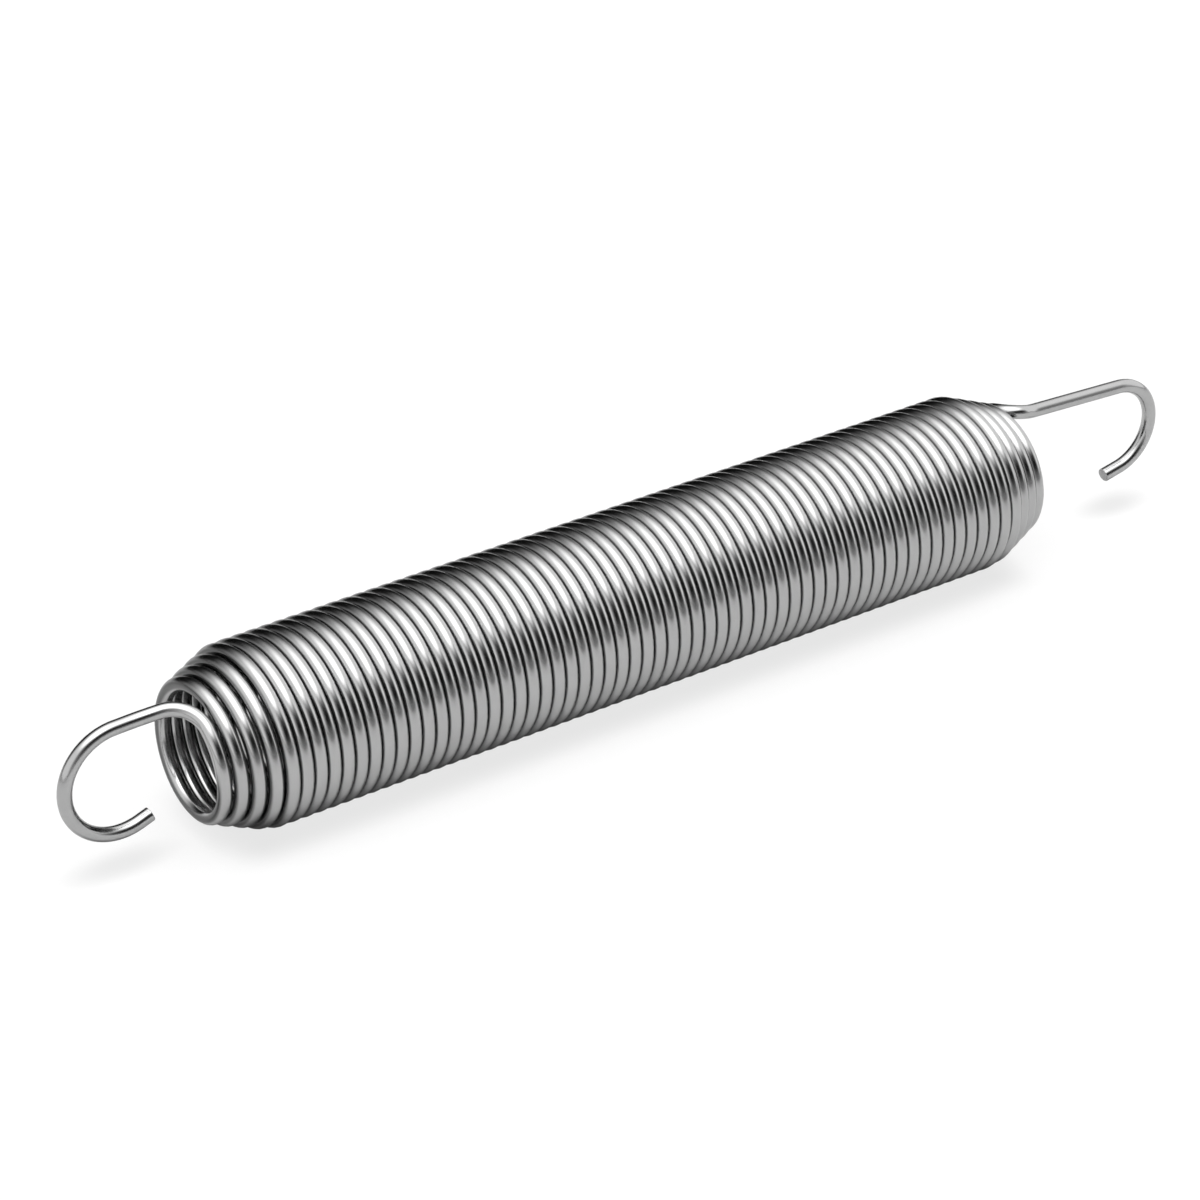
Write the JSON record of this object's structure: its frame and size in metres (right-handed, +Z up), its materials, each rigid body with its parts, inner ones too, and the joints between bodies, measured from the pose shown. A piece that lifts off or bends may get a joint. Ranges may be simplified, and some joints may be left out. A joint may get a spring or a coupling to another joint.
{
  "type": "trampoline spring",
  "caption": "Close-wound steel extension spring with drawn-in ends and an open hook at each end, to stretch between a trampoline frame and its mat.",
  "frame": {"origin": "under the middle of the spring's whole length, level with the lowest point of the coil, which is the ground that it lies on in the picture", "axes": "+X along the coil's axis towards the hook with the long shank, +Z up from that ground, towards the side of the axis that the hooks' shanks are on"},
  "size_m": [0.2168, 0.0303, 0.0303],
  "materials": {
    "steel_wire": "bright zinc-plated drawn steel wire, smooth and shiny, with faint draw marks along the wire"
  },
  "bodies": {
    "root": {"spring": "steel_wire"}
  },
  "joints": []
}
